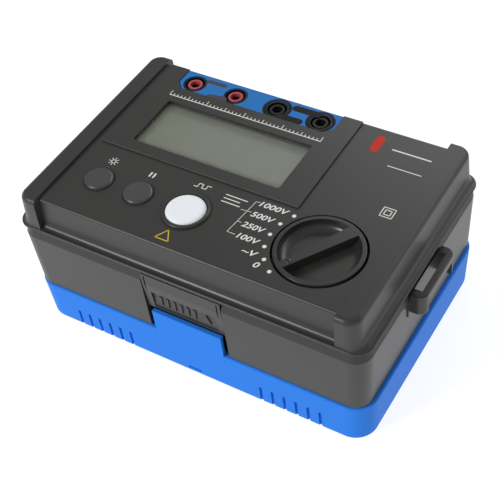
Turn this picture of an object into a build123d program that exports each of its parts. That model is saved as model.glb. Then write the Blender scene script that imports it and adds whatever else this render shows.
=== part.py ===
from build123d import *
import math
import os

# Insulation resistance tester standing in its storage lid.
# Millimetres. X runs left to right, Y to the back, Z up; the origin is the middle of the lid's underside.

os.makedirs("parts", exist_ok=True)

# ---------------------------------------------------------------- driving dimensions
case_width = 202.0            # X over the lip that runs round the case
case_depth = 131.0            # Y over the same lip
lip_radius = 9.0
lid_height = 26.0             # floor to rim
lower_height = 40.0           # skirt of the lower shell, rim of the lid to the parting line
lip_height = 4.2              # parting line to the top of the lip
upper_height = 17.8           # top of the lip to the panel
cheek_rise = 1.6              # end cheeks above the panel
plateau_rise = 1.0            # display block above the panel
wall = 2.6
running = 0.05                # radial clearance of a turning fit
sliding = 0.3                 # clearance round a piece that slides in a hole
seat_gap = 0.2                # air between faces that only rest near each other

# lid
lid_width = case_width - 0.4
lid_depth = case_depth - 0.4
lid_radius = 12.0
lid_draft = 1.2               # how much narrower each side of the lid is at its foot
lid_rim_round = 1.0
tab_width = 41.0
tab_height = 14.4             # above the rim
tab_thickness = 2.0
tab_bead = 1.6
groove_count = 6
groove_pitch = 6.8
groove_first = 40.3           # X of the groove nearest the middle
groove_height = 12.0
groove_width = 1.7
groove_depth = 1.1
pillar_radius = 6.5
notch_width = 8.0

# lower shell
skirt_inset = 0.8             # skirt inside the lip, each side
skirt_draft = 1.2             # how much narrower each side of the skirt is at its foot
skirt_gap = 1.0               # dark gap between the skirt and the lid's rim
skirt_chamfer = 3.8
plug_inset = 6.2              # stepped base inside the skirt, each side
plug_depth = 6.0              # how far the base drops into the lid
catch_bay_width = 47.2
catch_bay_depth = 7.0
parting_gap = 1.5             # shadow groove under the lip
lip_undercut = 1.0            # how far the lip draws in towards its underside
lip_round = 0.9
tongue_height = 2.4
tongue_thickness = 1.3

# upper shell
cheek_width = 11.2            # top of an end cheek, groove to outer side
cheek_side_gap = 5.0          # lip beyond the cheek, each end
cheek_front_gap = 1.2         # lip beyond the cheek, front and back
cheek_draft = 1.2
cheek_radius = 7.0
band_setback = 4.3            # recessed band behind the lip, at its foot
band_draft = 1.2
band_foot_round = 2.6         # hollow curve between the band and the lip
flare_height = 5.0
panel_round = 1.3
cheek_round = 3.2
plateau_width = 118.2
plateau_depth = 69.8
plateau_margin = 3.8          # plateau to the left groove
window_width = 88.0
window_depth = 34.7
window_inset = 45.3           # window centre from the back of the panel
label_width = 96.3
label_depth = 16.5
label_chamfer = 4.5
label_thickness = 0.6

# sockets
socket_pitch = 25.9
socket_inset = 9.6            # socket centres from the back of the panel
socket_radius = 6.6
socket_length = 24.0
socket_well_radius = 5.3
socket_well_depth = 17.0
sleeve_radius = 4.1
sleeve_bore = 2.75
contact_radius = 2.6
plug_bore = 2.0               # the 4 mm bore a test lead goes into
plug_bore_length = 20.0

# buttons
small_button_radius = 7.8
small_button_rise = 1.7
small_button_travel = 1.5
test_button_radius = 10.5
test_button_rise = 2.2
test_button_travel = 2.5
test_collar_radius = 12.5
test_collar_rise = 1.3
button_inset = 25.2           # button centres from the front of the panel
light_from_groove = 20.1
hold_from_light = 24.3
test_from_hold = 28.5
button_flange = 1.2
button_stem_radius = 2.4
spring_wire = 0.6

# selector knob
knob_radius = 22.2
knob_height = 8.0
knob_proud = 0.7              # above the panel
knob_gap = 1.2
knob_inset_x = 25.3           # knob centre from the right groove
knob_inset_y = 30.3           # knob centre from the front of the panel
knob_rim = 2.2
knob_pocket_depth = 5.4
knob_dish_round = 4.4         # where a pocket's floor turns up into its outer wall
knob_bar_near = 1.2           # straight side of the grip bar, from the centre line
knob_bar_point = 2.6          # slanting side of the bar, at the pointer
knob_bar_tail = 6.2           # and at the other end
shaft_radius = 4.0
dial_step = 18.0              # degrees between two positions
rotor_radius = 15.0
ring_inner = 16.4             # inner wall of the detent ring
ring_outer = 19.5
clip_thickness = 0.8
cup_boss = 1.4                # bearing boss under the knob's cup
pointer_angle = 236.0         # where the pointer stands at rest, which is off

# strap brackets, one at each end
lug_plate = 40.0
lug_seat = 2.2                # how deep the bracket's plate sits in the case side
lug_reach = 7.0               # beyond the lip
lug_bar = 3.4
lug_bar_height = 4.6
lug_leg = 4.4
lug_corner = 4.5

# catch that holds the lid's tab
tab_overhang = 0.5            # the tab's bead inside the tab
catch_pin_radius = 1.0
catch_side_gap = 0.5
catch_thickness = 2.2
catch_end_thickness = 1.1     # where the plate passes in front of the pin's ears
catch_slope = 1.6             # the plate's foot lies this far behind its top
catch_spring_room = 4.0
catch_spring_turns = 7
catch_spring_wire = 0.5
eye_half = 20.0               # half the length of the eye round the pin
eye_wall = 1.1
ear_width = 2.4
rib_first = -15.0             # X of the leftmost rib on the push pad
rib_pitch = 4.0
rib_count = 6
rib_width = 1.2
arrow_x = 12.5
arrow_half = 2.6

# boards and cells
board_thickness = 1.6
board_margin = 1.5            # main board clear of the screw bosses
board_height = 71.6           # top of the main board
power_board_height = 45.6     # top of the power board
board_corner = 3.0
board_hole = 1.6
board_post_radius = 3.2
screw_pilot = 1.1
seal_height = 0.8
switch_height = 4.0
switch_side = 6.0
chips = ((-30, -8, 16, 16, 2.0), (2, 2, 10, 7, 1.8), (-62, 4, 8, 6, 1.8))   # x, y, width, depth, height
core_x = 34.0                 # middle of the transformer
core_width = 24.0
core_depth = 28.0
core_height = 16.0
core_limb = 5.0
winding_height = 17.0
capacitor_x = (-30, -17, -4)
capacitor_y = 24.0
capacitor_radius = 5.0
capacitor_height = 17.0
relay_box = (-62, -43, 12, 22)   # x from, to, y from, to
relay_height = 15.0
buzzer_x, buzzer_y = -58.0, -16.0
buzzer_radius = 8.5
buzzer_height = 8.0
fuse_x, fuse_y = -10.0, -22.0
fuse_radius = 2.6
fuse_length = 20.0
fuse_rise = 4.5               # fuse axis above the board
cell_radius = 7.2
cell_length = 50.0
cell_rows = 4
cell_pitch = 14.9
door_thickness = 2.2

# screws and feet
screw_radius = 1.7
screw_head_radius = 3.2
boss_radius = 4.6
foot_radius = 5.5
foot_height = 2.0

# ---------------------------------------------------------------- places worked out from them
half_w = case_width / 2
half_d = case_depth / 2
rim_z = lid_height
part_z = rim_z + lower_height
lip_under_z = part_z + parting_gap
lip_top_z = part_z + lip_height
panel_z = lip_top_z + upper_height
plateau_z = panel_z + plateau_rise
cheek_z = panel_z + cheek_rise
groove_x = half_w - cheek_side_gap - cheek_width
panel_half_d = half_d - band_setback - band_draft
plateau_x0 = -groove_x + plateau_margin
left_group_x = plateau_x0 + plateau_width / 2
window_y = panel_half_d - window_inset
socket_y = panel_half_d - socket_inset
button_y = -panel_half_d + button_inset
light_x = -groove_x + light_from_groove
hold_x = light_x + hold_from_light
test_x = hold_x + test_from_hold
knob_x = groove_x - knob_inset_x
knob_y = -panel_half_d + knob_inset_y
base_z = rim_z - plug_depth
skirt_w = half_w - skirt_inset
skirt_d = half_d - skirt_inset / 2
plug_w = skirt_w - plug_inset
plug_d = skirt_d - plug_inset
cavity_w = skirt_w - skirt_chamfer
cavity_d = skirt_d - skirt_chamfer + 0.4
inner_w = half_w - cheek_side_gap - wall
inner_d = panel_half_d - wall
boss_x = plug_w - boss_radius - 4.0
boss_y = plug_d - boss_radius - 2.0
foot_x = boss_x - 14.0
foot_y = boss_y
under_panel_z = panel_z - wall
socket_places = [left_group_x + (k - 1.5) * socket_pitch for k in range(4)]
knob_top_z = panel_z + knob_proud
knob_low_z = knob_top_z - knob_height
knob_floor_z = knob_low_z - 0.5
clip_z1 = knob_floor_z - wall - cup_boss - 0.1
clip_z0 = clip_z1 - clip_thickness
catch_pin_y = -skirt_d + 3.4
catch_pin_z = part_z - 3.6
catch_low_z = rim_z + tab_height + 1.4
catch_face_y = -half_d + 0.6
holder_w = cell_length + 3.4
holder_d = cell_rows * cell_pitch / 2 + 0.6
door_w = holder_w + 7.0
door_d = holder_d + 2.0
door_screw_x = holder_w + 3.5
power_post_x = plug_w - 18.0
power_post_y = holder_d + 6.0
lug_low_z = part_z - 15.5
lug_top_z = part_z - 1.0
board_w = boss_x - boss_radius - board_margin
board_y0 = -inner_d + 4.0
board_y1 = socket_y - socket_radius - 3.0
board_posts = [(-board_w + 5, board_y0 + 5), (board_w - 5, board_y0 + 5),
               (-board_w + 5, board_y1 - 5), (board_w - 5, board_y1 - 5)]
glass_top_z = plateau_z - 4.2
rotor_z0 = board_height + 0.4
rotor_z1 = rotor_z0 + 2.8


def slab(half_x, half_y, radius, z0, z1, x=0.0, y=0.0):
    """Upright block with rounded corners between two heights."""
    outline = RectangleRounded(2 * half_x, 2 * half_y, radius)
    return Pos(x, y, z0) * extrude(outline, z1 - z0)


def drafted(bottom, top, z0, z1):
    """Block whose rounded outline changes from bottom (half x, half y, radius) to top."""
    low = Pos(0, 0, z0) * RectangleRounded(2 * bottom[0], 2 * bottom[1], bottom[2])
    high = Pos(0, 0, z1) * RectangleRounded(2 * top[0], 2 * top[1], top[2])
    return loft([low, high], ruled=True)


def block(x0, x1, y0, y1, z0, z1):
    """Plain box between two opposite corners."""
    x0, x1 = min(x0, x1), max(x0, x1)
    return Pos((x0 + x1) / 2, (y0 + y1) / 2, (z0 + z1) / 2) * Box(x1 - x0, y1 - y0, z1 - z0)


def rod(x, y, z0, z1, radius):
    """Upright round bar."""
    return Pos(x, y, (z0 + z1) / 2) * Cylinder(radius, z1 - z0)


def tube(x, y, z0, z1, outer, inner):
    """Upright tube."""
    return rod(x, y, z0, z1, outer) - rod(x, y, z0 - 1, z1 + 1, inner)


def corners(half_x, half_y):
    """The four corner places of a rectangle about the middle."""
    return [(sx * half_x, sy * half_y) for sx in (-1, 1) for sy in (-1, 1)]


def coil(x, y, z0, z1, radius, wire, turns):
    """Helical compression spring standing on z0."""
    height = z1 - z0 - wire
    path = Helix(pitch=height / turns, height=height, radius=radius)
    section = Plane(origin=path @ 0, z_dir=path % 0) * Circle(wire / 2)
    return Pos(x, y, z0 + wire / 2) * sweep(section, path=path)


def edges_near(part, axis, value, tolerance=0.05):
    """Edges that lie wholly at one height or side."""
    found = []
    for edge in part.edges():
        box = edge.bounding_box()
        low = getattr(box.min, axis)
        high = getattr(box.max, axis)
        if abs(low - value) < tolerance and abs(high - value) < tolerance:
            found.append(edge)
    return found


def write(shape, node):
    """One sub-part, one STEP file."""
    export_step(shape, f"parts/{node}.step")
    print(node, len(shape.solids()), round(shape.volume, 1))


# ---------------------------------------------------------------- storage lid
def storage_lid():
    half_x, half_y = lid_width / 2, lid_depth / 2
    outer = drafted(
        (half_x - lid_draft, half_y - lid_draft / 2, lid_radius),
        (half_x, half_y, lid_radius), 0, rim_z)
    outer = fillet(edges_near(outer, "Z", 0), 1.2)
    outer = fillet(edges_near(outer, "Z", rim_z), lid_rim_round)
    hollow_x = half_x - lid_draft - wall
    hollow_y = half_y - lid_draft - wall
    shell = outer - slab(hollow_x, hollow_y, lid_radius - wall, wall, rim_z + 1)
    tab = block(-tab_width / 2, tab_width / 2, -half_y, -half_y + tab_thickness,
                rim_z - 6, rim_z + tab_height)
    tab = fillet(tab.edges().filter_by(Axis.Y).group_by(Axis.Z)[-1], 1.0)
    bead = block(-tab_width / 2, tab_width / 2, -half_y - 0.2, -half_y + tab_thickness + tab_overhang,
                 rim_z + tab_height - tab_bead, rim_z + tab_height)
    bead = fillet(bead.edges().filter_by(Axis.X), 0.6)
    shell = shell + tab + bead
    for side in (-1, 1):
        for k in range(groove_count):
            for end in (-1, 1):
                x = side * (groove_first + k * groove_pitch)
                y = end * (half_y - lid_draft / 2)
                shell -= block(x - groove_width / 2, x + groove_width / 2,
                               y - groove_depth, y + groove_depth, -1, groove_height)
    shell -= block(-notch_width / 2, notch_width / 2, -half_y - 1, -half_y + 1.6, 2.6, 4.2)
    for x, y in corners(foot_x, foot_y):
        shell += rod(x, y, wall - 0.5, base_z - foot_height - seat_gap, pillar_radius)
    return shell


# ---------------------------------------------------------------- lower shell
def lower_shell():
    skirt = drafted((skirt_w - skirt_draft, skirt_d - skirt_draft / 2, lip_radius),
                    (skirt_w, skirt_d, lip_radius), rim_z + skirt_gap, part_z - skirt_chamfer)
    top = drafted((skirt_w, skirt_d, lip_radius),
                  (skirt_w - 1.7, skirt_d - 1.7, lip_radius - 1.7), part_z - skirt_chamfer, part_z)
    plug = slab(plug_w, plug_d, lip_radius, base_z, rim_z + skirt_gap)
    plug = fillet(edges_near(plug, "Z", base_z), 1.5)
    shell = skirt + top + plug
    step_z = rim_z + skirt_gap + wall
    shell -= slab(plug_w - wall, plug_d - wall, lip_radius - wall, base_z + wall, step_z)
    shell -= slab(cavity_w, cavity_d, lip_radius - 2, step_z, part_z + 1)
    tongue_w, tongue_d = cavity_w + tongue_thickness, cavity_d + tongue_thickness
    tongue = slab(tongue_w, tongue_d, lip_radius - 1, part_z - 2, part_z + tongue_height)
    tongue -= slab(cavity_w, cavity_d, lip_radius - 2, part_z - 3, part_z + tongue_height + 1)
    shell += tongue
    bay = catch_bay_width / 2
    floor_y = -skirt_d + catch_bay_depth
    shell += block(-bay - wall, bay + wall, -cavity_d - 1, floor_y + wall, step_z - 1, part_z)
    shell -= block(-bay, bay, -half_d - 1, floor_y, rim_z - 1, part_z - 1.2)
    shell -= block(-bay, bay, -half_d - 1, -cavity_d - tongue_thickness, part_z - 2, part_z + 1)
    for sx in (-1, 1):
        ear_front = catch_pin_y - catch_pin_radius - 0.5
        shell += block(sx * bay, sx * (bay - ear_width), ear_front, floor_y, part_z - 7, part_z - 1.2)
    shell -= Pos(0, catch_pin_y, catch_pin_z) * Rot(0, 90, 0) * Cylinder(
        catch_pin_radius + running, 2 * bay + 2)
    # battery opening in the floor, with a rebate for the door
    shell -= block(-door_w, door_w, -door_d, door_d, base_z - 1, base_z + door_thickness)
    shell -= block(-holder_w, holder_w, -holder_d, holder_d, base_z - 1, base_z + wall + 1)
    shell += block(holder_w, holder_w + 8, -5, 5, base_z + door_thickness, base_z + 9)
    shell -= rod(door_screw_x, 0, base_z - 1, base_z + 8, screw_radius)
    for x, y in corners(boss_x, boss_y):
        shell += rod(x, y, base_z + wall - 0.5, part_z + 1.5, boss_radius)
        shell -= rod(x, y, base_z - 1, part_z + 3, screw_radius + sliding)
        shell -= rod(x, y, base_z - 1, base_z + 4, screw_head_radius + sliding)
    for x, y in corners(power_post_x, power_post_y):
        shell += rod(x, y, base_z + wall - 0.5, power_board_height - board_thickness, 3.6)
        shell -= rod(x, y, base_z + wall + 4, power_board_height, screw_pilot)
    for x, y in corners(foot_x, foot_y):
        shell -= rod(x, y, base_z - 1, base_z + 0.8, foot_radius)
    for sx in (-1, 1):
        shell -= block(sx * (skirt_w - lug_seat), sx * (skirt_w + 2), -lug_plate / 2, lug_plate / 2,
                       lug_low_z, part_z - skirt_chamfer)
    return shell


# ---------------------------------------------------------------- upper shell
def cheeks():
    """Outer form over the lip: a tapered block whose foot flares out to the lip."""
    steps = 5
    foot = (half_w - lip_round, half_d - lip_round, lip_radius - lip_round)
    top_w = half_w - cheek_side_gap
    top_d = half_d - cheek_front_gap - 0.3
    waist = (top_w + cheek_draft * 0.7, top_d + 0.4, cheek_radius)
    rings = []
    for k in range(steps + 1):
        t = k / steps
        out = 1 - math.sqrt(1 - (1 - t) ** 2)
        half_x = waist[0] + (foot[0] - waist[0]) * out
        half_y = waist[1] + (foot[1] - waist[1]) * out
        radius = waist[2] + (foot[2] - waist[2]) * out
        rings.append(Pos(0, 0, lip_top_z + flare_height * t)
                     * RectangleRounded(2 * half_x, 2 * half_y, radius))
    flare = loft(rings)
    body = drafted(waist, (top_w, top_d, cheek_radius), lip_top_z + flare_height, cheek_z)
    body = fillet(edges_near(body, "Z", cheek_z), cheek_round)
    return flare + body


def band_block(grow_y, z1):
    """The recessed middle between the cheeks, front band to back band."""
    foot_d = half_d - band_setback + grow_y
    top_d = panel_half_d + grow_y
    low = Pos(0, 0, lip_top_z) * Rectangle(2 * groove_x, 2 * foot_d)
    high = Pos(0, 0, z1) * Rectangle(2 * groove_x, 2 * top_d)
    return loft([low, high], ruled=True)


def band_foot(side):
    """Hollow curve where the band in front or behind meets the lip."""
    steps = 5
    foot_y = half_d - band_setback
    lean = band_draft / upper_height
    curve = []
    for k in range(steps + 1):
        angle = math.pi / 2 * k / steps
        rise = band_foot_round * (1 - math.cos(angle))
        curve.append((foot_y - rise * lean + band_foot_round * (1 - math.sin(angle)), lip_top_z + rise))
    inside = foot_y - wall / 2
    points = [(inside, lip_top_z - 0.2), (curve[0][0], lip_top_z - 0.2)] + curve + [(inside, curve[-1][1])]
    face = make_face(Plane.YZ * Polyline(*[(side * y, z) for y, z in points], close=True))
    return Pos(-groove_x, 0, 0) * extrude(face, 2 * groove_x, dir=(1, 0, 0))


def upper_shell():
    lip = drafted((half_w - lip_undercut, half_d - lip_undercut, lip_radius - lip_undercut),
                  (half_w, half_d, lip_radius), lip_under_z, lip_top_z - lip_round)
    lip += fillet(edges_near(slab(half_w, half_d, lip_radius, lip_top_z - lip_round - 0.1, lip_top_z),
                             "Z", lip_top_z), lip_round)
    outer = cheeks()
    channel = block(-groove_x, groove_x, -half_d - 1, half_d + 1, lip_top_z, cheek_z + 1)
    middle = band_block(0, panel_z)
    middle = fillet([e for e in edges_near(middle, "Z", panel_z)
                     if abs(abs(e.center().Y) - panel_half_d) < 0.1], panel_round)
    plateau = block(plateau_x0, plateau_x0 + plateau_width,
                    panel_half_d - plateau_depth, panel_half_d - 0.4, panel_z - 1, plateau_z)
    plateau = fillet(plateau.edges().filter_by(Axis.X).group_by(Axis.Z)[-1], 0.4)
    shell = lip + (outer - channel) + middle + band_foot(-1) + band_foot(1) + plateau
    shell -= slab(inner_w, inner_d, 4.0, part_z - 1, under_panel_z)
    # rebate that takes the lower shell's tongue and the seal above it
    seal_top = part_z + tongue_height + seal_height
    shell -= slab(cavity_w + tongue_thickness + seat_gap, cavity_d + tongue_thickness + seat_gap,
                  lip_radius - 0.8, part_z - 1, seal_top)
    # display window, terminal pocket
    shell -= slab(window_width / 2, window_depth / 2, 1.5, under_panel_z - 1, plateau_z + 1,
                  left_group_x, window_y)
    shell -= slab(window_width / 2 + 2, window_depth / 2 + 2, 2.0, under_panel_z - 1, plateau_z - 1.8,
                  left_group_x, window_y)
    shell -= label_outline(0, label_thickness + 0.4, plateau_z)
    for x in socket_places:
        shell -= rod(x, socket_y, under_panel_z - 1, plateau_z + 1, socket_radius + running)
        shell -= rod(x, socket_y, panel_z - socket_length - 1, under_panel_z, socket_radius + seat_gap)
    # buttons
    for x in (light_x, hold_x):
        shell -= rod(x, button_y, under_panel_z - 1, panel_z + 1, small_button_radius + sliding)
    collar = rod(test_x, button_y, panel_z - 1, panel_z + test_collar_rise, test_collar_radius)
    collar = fillet(edges_near(collar, "Z", panel_z + test_collar_rise), 0.9)
    shell += collar
    shell -= rod(test_x, button_y, under_panel_z - 1, panel_z + 3, test_button_radius + sliding)
    # bosses for the case screws and the board posts
    for x, y in corners(boss_x, boss_y):
        shell += rod(x, y, part_z + 1.5 + seat_gap, under_panel_z + 0.5, boss_radius)
        shell -= rod(x, y, part_z - 1, part_z + 12, screw_radius)
    for x, y in board_posts:
        shell += rod(x, y, board_height, under_panel_z + 0.5, board_post_radius)
        shell -= rod(x, y, board_height - 1, board_height + 6, screw_pilot)
    # cup for the knob, with a bearing for its shaft
    cup_r = knob_radius + knob_gap
    shell += rod(knob_x, knob_y, knob_floor_z - wall, panel_z - 0.5, cup_r + wall - 0.6)
    shell -= rod(knob_x, knob_y, knob_floor_z, panel_z + 2, cup_r)
    shell += rod(knob_x, knob_y, knob_floor_z - wall - cup_boss, knob_floor_z - wall + 0.2, shaft_radius + 3)
    shell -= rod(knob_x, knob_y, knob_floor_z - 9, knob_floor_z + 1, shaft_radius + running)
    # buttons are guided by a sleeve each
    for x, radius in ((light_x, small_button_radius), (hold_x, small_button_radius),
                      (test_x, test_button_radius)):
        shell += tube(x, button_y, under_panel_z - 1.6, under_panel_z + 0.5,
                      radius + sliding + 1.4, radius + sliding)
    return shell


def label_outline(inset, thickness, top):
    """Terminal label: square at the back edge, corners cut off at the front."""
    half = label_width / 2 - inset
    y1 = panel_half_d + 0.6
    y0 = panel_half_d - label_depth + inset
    cut = label_chamfer
    points = [(-half, y1), (-half, y0 + cut), (-half + cut, y0), (half - cut, y0), (half, y0 + cut), (half, y1)]
    face = make_face(Polyline(*points, close=True))
    return Pos(left_group_x, 0, top - thickness) * extrude(face, thickness + (1 if inset == 0 else 0))


def strap_bracket(side):
    """Loop moulded for a strap: a plate set in the case side, two legs and a bar."""
    root = skirt_w - lug_seat + 0.05
    face = skirt_w + 0.3
    far = half_w + lug_reach
    half = lug_plate / 2 - 0.1
    loop_half = half - 2.0
    leg_low = lug_low_z + 1.0
    plate = block(root, face, -half, half, lug_low_z + 0.1, part_z - skirt_chamfer - 0.1)
    loop = block(face - 0.1, far, -loop_half, loop_half, leg_low, lug_top_z)
    loop = fillet(loop.edges().filter_by(Axis.Z).group_by(Axis.X)[-1], lug_corner)
    loop = fillet(loop.faces().sort_by(Axis.Z)[0].edges().filter_by(Axis.Y).sort_by(Axis.X)[-1:], 1.6)
    loop = fillet(loop.faces().sort_by(Axis.Z)[-1].edges().filter_by(Axis.Y).sort_by(Axis.X)[-1:], 0.8)
    slot_half = loop_half - lug_leg
    loop -= block(face, far + 1, -slot_half, slot_half, leg_low - 1, lug_top_z - lug_bar_height)
    loop -= block(face, far - lug_bar, -slot_half, slot_half, leg_low, lug_top_z + 1)
    bracket = plate + loop
    return bracket if side > 0 else mirror(bracket, about=Plane.YZ)


def selector_knob():
    body = rod(0, 0, knob_low_z, knob_top_z, knob_radius)
    body = fillet(edges_near(body, "Z", knob_top_z), 0.5)
    floor = knob_top_z - knob_pocket_depth
    dish = rod(0, 0, floor, knob_top_z + 1, knob_radius - knob_rim)
    dish = fillet(edges_near(dish, "Z", floor), knob_dish_round)
    reach = knob_radius
    bar_sides = [
        [(reach, knob_bar_near), (-reach, knob_bar_near), (-reach, 2 * reach), (reach, 2 * reach)],
        [(reach, -knob_bar_point), (-reach, -knob_bar_tail), (-reach, -2 * reach), (reach, -2 * reach)]]
    for side in bar_sides:
        face = make_face(Polyline(*side, close=True))
        body -= dish & (Pos(0, 0, floor - 1) * extrude(face, knob_pocket_depth + 3))
    marker = Pos(16.0, -0.6, knob_top_z + 1.4) * Sphere(2.1)
    body -= marker
    shaft = rod(0, 0, rotor_z0 - 0.2, knob_low_z + 0.5, shaft_radius)
    flat = block(shaft_radius - 1.0, shaft_radius + 1, -5, 5, rotor_z0 - 1, rotor_z1 + 0.3)
    body += shaft - flat
    body -= tube(0, 0, clip_z0, clip_z1, shaft_radius + 1, shaft_radius - 0.6)
    return Pos(knob_x, knob_y, 0) * Rot(0, 0, pointer_angle) * body


def switch_rotor():
    disc = rod(0, 0, rotor_z0, rotor_z1, rotor_radius)
    bore = rod(0, 0, rotor_z0 - 1, rotor_z1 + 1, shaft_radius)
    bore -= block(shaft_radius - 1.0, shaft_radius + 1, -5, 5, rotor_z0 - 2, rotor_z1 + 2)
    disc -= bore
    for side in (-1, 1):
        pocket = Pos(side * (rotor_radius - 3.0), 0, (rotor_z0 + rotor_z1) / 2) * Rot(0, 90, 0)
        disc -= pocket * Cylinder(1.0, 6.2)
    return Pos(knob_x, knob_y, 0) * Rot(0, 0, pointer_angle) * disc


def detent_balls():
    """Two balls at the mouths of the rotor's pockets."""
    mid = (rotor_z0 + rotor_z1) / 2
    balls = [Pos(side * (rotor_radius - 0.1), 0, mid) * Sphere(0.95) for side in (-1, 1)]
    return Pos(knob_x, knob_y, 0) * Rot(0, 0, pointer_angle) * Compound(children=balls)


def detent_springs():
    """Two small coils behind the balls."""
    mid = (rotor_z0 + rotor_z1) / 2
    wire = 0.3
    length = 4.6
    path = Helix(pitch=(length - wire) / 5, height=length - wire, radius=0.7)
    one = sweep(Plane(origin=path @ 0, z_dir=path % 0) * Circle(wire / 2), path=path)
    laid = Pos(rotor_radius - 5.9, 0, mid) * Rot(0, 90, 0) * one
    turned = [Rot(0, 0, angle) * laid for angle in (0, 180)]
    return Pos(knob_x, knob_y, 0) * Rot(0, 0, pointer_angle) * Compound(children=turned)


def detent_ring():
    """Fixed ring whose inner wall has a shallow notch for every position."""
    ring = tube(0, 0, board_height, rotor_z1, ring_outer, ring_inner)
    for k in range(int(360 / dial_step)):
        notch = rod(ring_inner, 0, board_height - 1, rotor_z1 + 1, 0.9)
        ring -= Rot(0, 0, pointer_angle + k * dial_step) * notch
    return Pos(knob_x, knob_y, 0) * ring


def round_button(x, radius, rise, top_round, travel):
    """Cap with a crowned top, a flange that keeps it in the case and a stem to its switch."""
    top = panel_z + rise
    sleeve_low = under_panel_z - 1.6
    cap = rod(x, button_y, sleeve_low - 0.4, top, radius)
    cap = fillet(edges_near(cap, "Z", top), top_round)
    flange = rod(x, button_y, sleeve_low - 0.2 - button_flange, sleeve_low - 0.2, radius + 1.4)
    stem = rod(x, button_y, board_height + switch_height + travel + 0.3, sleeve_low - 0.3, button_stem_radius)
    return cap + flange + stem


def key_switch(x):
    """Tactile switch soldered to the main board."""
    half = switch_side / 2
    top = board_height + switch_height
    body = block(x - half, x + half, button_y - half, button_y + half, board_height, top - 1.2)
    return body + rod(x, button_y, top - 1.4, top, half * 0.56)


def socket_body(x):
    """Shrouded socket: a black barrel with a ring-shaped well round a post."""
    top = panel_z + 0.5
    barrel = rod(x, socket_y, top - socket_length, top, socket_radius)
    barrel = fillet(edges_near(barrel, "Z", top), 0.5)
    nut = tube(x, socket_y, under_panel_z - 3.0, under_panel_z - 0.05, socket_radius + 2.2, socket_radius - 0.2)
    barrel += nut & block(-half_w, half_w, 0, inner_d - seat_gap, 0, panel_z)
    barrel -= rod(x, socket_y, top - socket_well_depth, top + 1, socket_well_radius)
    barrel -= rod(x, socket_y, top - socket_length - 1, top, contact_radius)
    return barrel


def socket_sleeve(x):
    """Coloured insulating sleeve round the contact."""
    top = panel_z + 0.5
    return tube(x, socket_y, top - socket_well_depth, top - 0.4, sleeve_radius, sleeve_bore)


def socket_contact(x):
    """Brass tube with the 4 mm bore, and its solder tail."""
    top = panel_z + 0.5 - 2.4
    low = panel_z + 0.5 - socket_length - 4
    body = rod(x, socket_y, low + 3, top, contact_radius - 0.02) + rod(x, socket_y, low, low + 3.2, 1.2)
    return body - rod(x, socket_y, top - plug_bore_length, top + 1, plug_bore)


def catch_plate():
    """Push plate over the lid's tab: hung from a pin, with a leg and a nose behind the tab's bead."""
    half = catch_bay_width / 2 - catch_side_gap
    top = lip_under_z - 0.3
    foot_face = catch_face_y + catch_slope
    back = catch_face_y + catch_thickness
    head_back = -cavity_d - tongue_thickness - sliding
    face = make_face(Plane.YZ * Polyline(
        (catch_face_y, top), (catch_face_y, part_z - 6.0), (foot_face, catch_low_z),
        (foot_face + catch_thickness, catch_low_z), (back, part_z - 8.0), (back, part_z - 1.8),
        (head_back, part_z - 1.8), (head_back, top), close=True))
    plate = Pos(-half, 0, 0) * extrude(face, 2 * half)
    on_pin = Pos(0, catch_pin_y, catch_pin_z) * Rot(0, 90, 0)
    eye = on_pin * Cylinder(catch_pin_radius + eye_wall, 2 * eye_half)
    plate += eye & block(-half, half, catch_face_y + 0.8, 0, rim_z, part_z)
    plate -= block(-catch_spring_room, catch_spring_room, catch_pin_y - catch_pin_radius - 1.0, 0,
                   catch_pin_z - 4, catch_pin_z + 4)
    plate -= on_pin * Cylinder(catch_pin_radius + running, 2 * half + 2)
    ends_y = catch_face_y + catch_end_thickness
    for side in (-1, 1):
        plate -= block(side * eye_half, side * (half + 1), ends_y, 0, catch_pin_z - 5, part_z)
        plate -= block(side * (half - 2.4), side * (half - 1.4), catch_face_y - 1, catch_face_y + 0.5,
                       rim_z, part_z)
    # sunk push pad with raised ribs and an arrow
    low, high = catch_low_z + 1.6, catch_low_z + 13.0
    pad_half = half - 4.0
    plate -= block(-pad_half, pad_half, catch_face_y - 1, foot_face + 0.4, low, high)
    for k in range(rib_count):
        x = rib_first + k * rib_pitch
        plate += block(x, x + rib_width, foot_face - 0.3, foot_face + 0.9, low + 2.4, high - 2.4)
    arrow = Polyline((arrow_x - arrow_half, low + 3.2), (arrow_x + arrow_half, low + 3.2),
                     (arrow_x, high - 3.0), close=True)
    plate += Pos(0, foot_face + 0.9, 0) * extrude(make_face(Plane.XZ * arrow), 1.2)
    nose_y = -lid_depth / 2 + tab_thickness + tab_overhang + sliding
    nose_z = rim_z + tab_height - tab_bead - 1.8
    leg_half = half - 6.0
    leg = block(-leg_half, leg_half, nose_y + 0.6, nose_y + 1.4, nose_z, catch_low_z + 1.2)
    nose = block(-leg_half, leg_half, nose_y, nose_y + 0.8, nose_z, nose_z + 1.4)
    shelf = block(-leg_half, leg_half, foot_face + 0.6, nose_y + 1.4, catch_low_z, catch_low_z + 1.2)
    return plate + leg + nose + shelf


def catch_spring():
    """Torsion spring wound round the catch's pin."""
    wire = catch_spring_wire
    length = 2 * catch_spring_room - 0.8
    pitch = (length - wire) / catch_spring_turns
    path = Helix(pitch=pitch, height=length - wire, radius=catch_pin_radius + wire / 2 + 0.15)
    one = sweep(Plane(origin=path @ 0, z_dir=path % 0) * Circle(wire / 2), path=path)
    return Pos(-length / 2 + wire / 2, catch_pin_y, catch_pin_z) * Rot(0, 90, 0) * one


def save_lid():
    write(storage_lid(), "storage_lid")


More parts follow.
